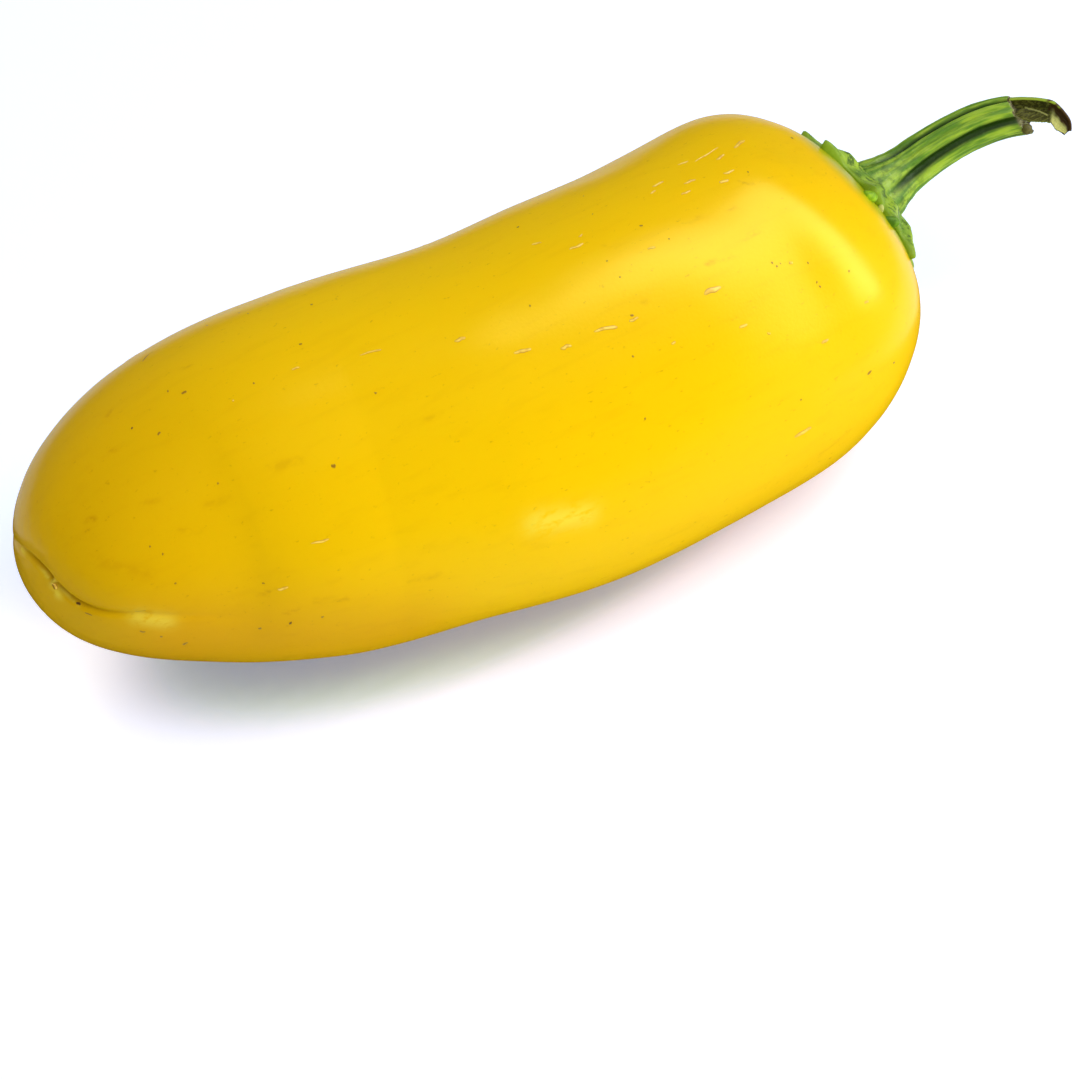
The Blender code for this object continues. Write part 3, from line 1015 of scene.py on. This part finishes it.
for kind, stains in skinStains.items():
    paintValues(pod, kind, stainValues(stains))
corners = np.array([v.co for v in pod.data.vertices]) / mm
size, height = skinZones["wander"]
wander = height * noiseAt(corners, (2 * size, size, size))
for zone, measure in (
    ("unripeAndShade", corners[:, 0] - corners[:, 0].min()),
    ("underside", corners[:, 2] + wander),
    ("besideCap", np.linalg.norm(corners - stalkRoot - toFrame, axis=1)),
):
    none, full = skinZones[zone]
    paintValues(pod, zone, np.clip((measure - none) / (full - none), 0, 1))
pod.data.materials.append(grownMaterial("waxy_pepper_skin", skinLook))
print("skin stained")


# Adds one small raised mark to lists of points and faces, laid on the pod's surface
def addMark(start, stop, width, height, chance, points, faces, edge):
    start, stop = Vector(start), Vector(stop)
    _, normal, _, _ = podSurface.find_nearest((start + stop) / 2)
    direction = stop - start
    least = markForm["leastLength"]
    if direction.length < width * least:
        short = direction.length > 0
        direction = direction.normalized() * width * least if short else Vector((width, 0, 0))
    side = normal.cross(direction).normalized()
    lengthSteps = max(markForm["fewestRows"], int(direction.length / (markForm["row"] * mm)))
    widthSteps = markForm["across"]
    roughness, roughBends = markForm["rough"]
    bending, bends = markForm["bend"]
    seed = chance.uniform(0, 100)
    base = len(points)
    for i in range(lengthSteps + 1):
        s = i / lengthSteps
        taper = math.sqrt(max(1 - abs(2 * s - 1) ** markForm["bluntness"], 0.0))
        far = s * direction.length / mm * roughBends
        rough = 1 + roughness * noise.noise(Vector((far, seed, 0)))
        bend = bending * width * noise.noise(Vector((s * bends, seed, 7)))
        for j in range(widthSteps + 1):
            w = 2 * j / widthSteps - 1
            spot = start + direction * s + side * (bend + w * taper * rough * width / 2)
            place, outward, _, _ = podSurface.find_nearest(spot)
            rise = height * (1 - w * w) * taper - markForm["sunk"] * height
            points.append(place + outward * rise)
            edge.append(max(abs(w), 1 - taper))
    for i in range(lengthSteps):
        for j in range(widthSteps):
            corner = base + i * (widthSteps + 1) + j
            faces.append((corner, corner + 1, corner + widthSteps + 2, corner + widthSteps + 1))


def makeMarks(kind, height):
    chance = random.Random(hiddenMarks["seed"] + len(kind))
    points, faces, edge = [], [], []
    for first, last, width in skinMarks[kind]:
        start, _ = pixelOn(podSurface, first)
        stop, _ = pixelOn(podSurface, last)
        if start is None or stop is None:
            print("a mark misses the pod:", first, last)
            continue
        addMark(start, stop, width * mm, height * mm, chance, points, faces, edge)
    shown = 0
    count, lengths, widths = hiddenMarks[kind]
    turn, offFloor = hiddenMarks["turn"], hiddenMarks["offFloor"] * mm
    while shown < count:
        x, angle = chance.uniform(*hiddenMarks["stations"]), chance.uniform(0, 360)
        place = Vector((podPoints(x, angle) + toFrame) * mm)
        _, normal, _, _ = podSurface.find_nearest(place)
        if normal.dot(Vector(cameraPlace() * mm) - place) > 0 or place.z < offFloor:
            continue
        long = chance.uniform(*lengths)
        ahead = podPoints(x + long, angle + chance.uniform(-turn, turn))
        ahead = Vector((ahead + toFrame) * mm)
        width = chance.uniform(*widths) * mm
        addMark(place, ahead, width, height * mm, chance, points, faces, edge)
        shown += 1
    piece = pieceFrom(kind + "_marks", points, faces)
    paintValues(piece, "edge", edge)
    return piece


# Corked skin: tiny healed splits with a dry pale ridge and a tanned rim, which catch the light. The
# pale middle is partly a painted highlight and the rim partly painted shade.
corkLook = {
    # pale middle: dry cork, and partly a painted highlight
    "colour": "#FFD750",
    "patterns": {"worn": ((0.5, 0.3, 0.3), 2.0, 0.5, 0.0)},
    "painted": ("edge",),
    "layers": (
        ("#D89C18", "worn", 0.42, 0.65, 0.6, None),
        # darker rim round each mark: tanned, and partly painted shade
        ("#B46C00", "edge", 0.35, 0.95, 1.0, None),
    ),
    "surface": {"Roughness": 0.45, "Specular IOR Level": 0.3},
}

# Dried spots in the skin, a quarter of a millimetre wide: pinpricks for the eye
spotLook = {
    "colour": "#5A3600",
    "painted": ("edge",),
    "layers": (("#B07C00", "edge", 0.3, 0.95, 1.0, None),),
    "surface": {"Roughness": 0.45, "Specular IOR Level": 0.2},
}
faintLook = {**spotLook, "colour": "#9A6A00", "layers": (("#CE9C00", "edge", 0.2, 0.9, 1.0, None),)}

for kind, height, name, look in (
    ("cork", 0.06, "corked_skin", corkLook),
    ("dark", 0.03, "dried_spot", spotLook),
    ("brown", 0.02, "faint_dried_spot", faintLook),
):
    marks = makeMarks(kind, height)
    marks.data.materials.append(grownMaterial(name, look))
    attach(marks, "root")
print("skin marked")

# Small growths on the cap and at the cut, living or dried: matt and a little uneven for the eye.
# Pixel, size across in mm (right, up, towards us), colour and the darker one in patches.
growthForm = {
    "green_lump": ((869, 197), (1.5, 1.2, 1.2), "#98C010", "#568208"),
    "lower_lump": ((891, 222), (1.5, 1.1, 0.7), "#628C0C", "#385E04"),
    "pale_flap": ((881, 210), (0.6, 1.0, 0.7), "#C6C86C", "#8E9A2C"),
    "cut_rib_knob": ((1027, 129), (1.0, 0.95, 0.9), "#66602C", "#3A3614"),
}
growthShape = {"sides": 28, "rings": 18, "uneven": (0.16, 0.5), "sunk": 0.12}
growthLook = {
    "patterns": {"patch": ((0.5, 0.5, 0.5), 3.0, 0.6, 0.0)},
    "surface": {"Roughness": 0.5, "Specular IOR Level": 0.15},
}
stalkSurface = surfaceOf(stalk)


def makeGrowth(name, pixel, size, colour, darker):
    right, up, sight = cameraAxes()
    hits = [pixelOn(surface, pixel)[0] for surface in (stalkSurface, podSurface)]
    hits = [hit for hit in hits if hit is not None]
    if not hits:
        print("a growth misses the pepper:", name)
        return
    place = min(hits, key=lambda hit: hit.dot(Vector(sight)))
    rings = []
    sides, count = growthShape["sides"], growthShape["rings"]
    for i in range(1, count):
        lift = math.pi * i / count
        turn = 2 * np.pi * np.arange(sides)[:, None] / sides
        ring = (
            math.sin(lift) * (np.cos(turn) * right * size[0] + np.sin(turn) * up * size[1])
            - math.cos(lift) * sight * size[2]
        ) / 2
        rings.append(ring)
    rings = np.array(rings)
    uneven, patch = growthShape["uneven"]
    rings *= 1 + uneven * noiseAt(rings + len(name), (patch, patch, patch))[..., None]
    middle = np.array(place) / mm + sight * size[2] * growthShape["sunk"]
    piece = closedPiece(
        name, rings + middle, middle - sight * size[2] / 2, middle + sight * size[2] / 2
    )
    faceOut(piece)
    look = {**growthLook, "colour": colour, "layers": ((darker, "patch", 0.35, 0.65, 0.7, None),)}
    piece.data.materials.append(grownMaterial("grown_" + name, look))
    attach(piece, "root")


for name, (pixel, size, colour, darker) in growthForm.items():
    makeGrowth(name, pixel, size, colour, darker)
print("cap finished")

# White paper under and behind the pepper. It glows a little, as paper lit through does. Under the
# pod it is painted darker and cooler and glows less, which deepens the shadow there and keeps the
# pod's yellow light from tinting it. Round the blossom tip a painted glow lightens the shadow.
floorForm = {
    "half": 3000.0,
    "fine": ((-60.0, 150.0, 106), (-70.0, 80.0, 76)),  # from, to and lines along X and Y
    "shaded": ((40.0, -0.5), (36.8, 15.5), (0.74, 1.05)),  # middle, half sizes, full and no shade
    # The clearing is a painted glow in the paper, not a lamp.
    "cleared": ((-1.0, 5.0), 9.0),  # middle and reach of the light that clears the tip's shadow
    "paper": (0.9, 0.94, 0.98),
    "shadedPaper": (0.68, 0.86, 0.5),
    "glow": (0.18, 0.21, 0.39),
    "shadedGlow": (0.03, 0.03, 0.24),
    "clearing": (0.46, 0.4, 0.25),
}


def makeFloor():
    form, half = floorForm, floorForm["half"]
    lines = [[-half, *np.linspace(*fine), half] for fine in form["fine"]]
    x, y = np.meshgrid(*lines, indexing="ij")
    rows, columns = x.shape
    points = np.stack([x, y, 0 * x], -1).reshape(-1, 3)
    first = (np.arange(rows - 1) * columns)[:, None] + np.arange(columns - 1)[None, :]
    faces = np.stack([first, first + columns, first + columns + 1, first + 1], -1)
    floor = pieceFrom("floor", points * mm, faces.reshape(-1, 4).tolist())
    x, y = (points - toFrame)[:, :2].T
    middle, reach, (full, none) = form["shaded"]
    off = np.hypot((x - middle[0]) / reach[0], (y - middle[1]) / reach[1])
    shade = np.clip((none - off) / (none - full), 0, 1)
    shade = shade * shade * (3 - 2 * shade)
    middle, reach = form["cleared"]
    off = np.hypot(x - middle[0], y - middle[1]) / reach
    paintValues(floor, "shade", shade)
    paintValues(floor, "clear", np.exp(-(off**2)) * (1 - shade))

    look = {"colour": (*form["paper"], 1), "painted": ("shade", "clear"), "layers": ()}
    look["layers"] = (((*form["shadedPaper"], 1), "shade", 0.0, 1.0, 1.0, None),)
    look["surface"] = {"Roughness": 0.9, "Specular IOR Level": 0.1, "Emission Strength": 1.0}
    material = grownMaterial("white_paper", look)
    tree = material.node_tree
    glow = (*form["glow"], 1)
    for name, other, mode in (("shade", "shadedGlow", "MIX"), ("clear", "clearing", "ADD")):
        cover = addNode(tree, "ShaderNodeAttribute", None, {"attribute_name": name})["Fac"]
        inputs = {0: cover, 6: glow, 7: (*form[other], 1)}
        settings = {"data_type": "RGBA", "blend_type": mode}
        glow = addNode(tree, "ShaderNodeMix", inputs, settings)[2]
    tree.links.new(glow, tree.nodes["Principled BSDF"].inputs["Emission Color"])
    floor.data.materials.append(material)
    floor.visible_glossy = False


makeFloor()

# A softbox overhead gives the shadow, a level fill from the near right and an even glow from all
# round the rest. The skin mirrors none of them, but a long softbox and two white cards instead.
lightForm = {
    "aim": (58.0, -3.0, 16.0),
    "lamps": {  # towards it from the pod, its long side, distance in mm, size in m, watts, colour
        "overhead": ((0.155, -0.268, 0.951), (1, 0, 0), 600, (0.45, 0.3), 2.0, (1.0, 0.96, 0.9)),
        "fill": ((0.7, -0.7, 0.06), (1, 1, 0), 330, (0.2, 0.2), 0.56, (1.0, 0.98, 0.95)),
        "mirrored": (
            (0.701, -0.141, 0.699), (0.577, -0.735, -0.357), 615, (1.06, 0.3), 8.6, (1, 1, 1)
        ),
    },
    "cards": (  # low and high corner on the floor, watts per square metre
        ((-90.0, 26.0), (150.0, 76.0), 1.75),
        ((98.0, -60.0), (175.0, 26.0), 2.8),
    ),
    "cardHeight": 1,
    "glow": 0.53,
    "glowColour": (0.86, 0.98, 1.14),
}


def addLamp(name, size, power, colour, lengthwise, towards, place):
    towards = Vector(towards).normalized()
    long = Vector(lengthwise)
    long = (long - towards * long.dot(towards)).normalized()
    lamp = bpy.data.lights.new(name, "AREA")
    lamp.shape, lamp.energy, lamp.color = "RECTANGLE", power, colour
    lamp.size, lamp.size_y = size
    holder = bpy.data.objects.new(name, lamp)
    bpy.context.scene.collection.objects.link(holder)
    turned = Matrix((long, towards.cross(long), towards)).transposed().to_4x4()
    holder.matrix_world = Matrix.Translation(place) @ turned
    holder.visible_camera = False
    return holder


def makeLights():
    aim = Vector((np.array(lightForm["aim"]) + toFrame) * mm)
    for name, (towards, long, distance, size, power, colour) in lightForm["lamps"].items():
        place = aim + Vector(towards).normalized() * distance * mm
        lamp = addLamp(name, size, power, colour, long, towards, place)
        lamp.visible_glossy = name == "mirrored"
        lamp.visible_diffuse = name != "mirrored"
        lamp.data.use_shadow = name == "overhead"
    for i, (low, high, perArea) in enumerate(lightForm["cards"]):
        size = [(high[k] - low[k]) * mm for k in (0, 1)]
        x, y = (low[0] + high[0]) / 2, (low[1] + high[1]) / 2
        place = Vector((x, y, lightForm["cardHeight"] - toFrame[2]))
        place = (place + Vector(toFrame)) * mm
        power = perArea * size[0] * size[1]
        card = addLamp(f"card_{i}", size, power, (1, 1, 1), (1, 0, 0), (0, 0, -1), place)
        card.visible_diffuse = False
    world = bpy.data.worlds.new("studio")
    bpy.context.scene.world = world
    world.use_nodes = True
    glow = world.node_tree.nodes["Background"]
    glow.inputs["Color"].default_value = (*lightForm["glowColour"], 1)
    glow.inputs["Strength"].default_value = lightForm["glow"]
    world.cycles_visibility.glossy = False
    bpy.context.scene.view_settings.view_transform = "Standard"


makeLights()
print("studio lit")
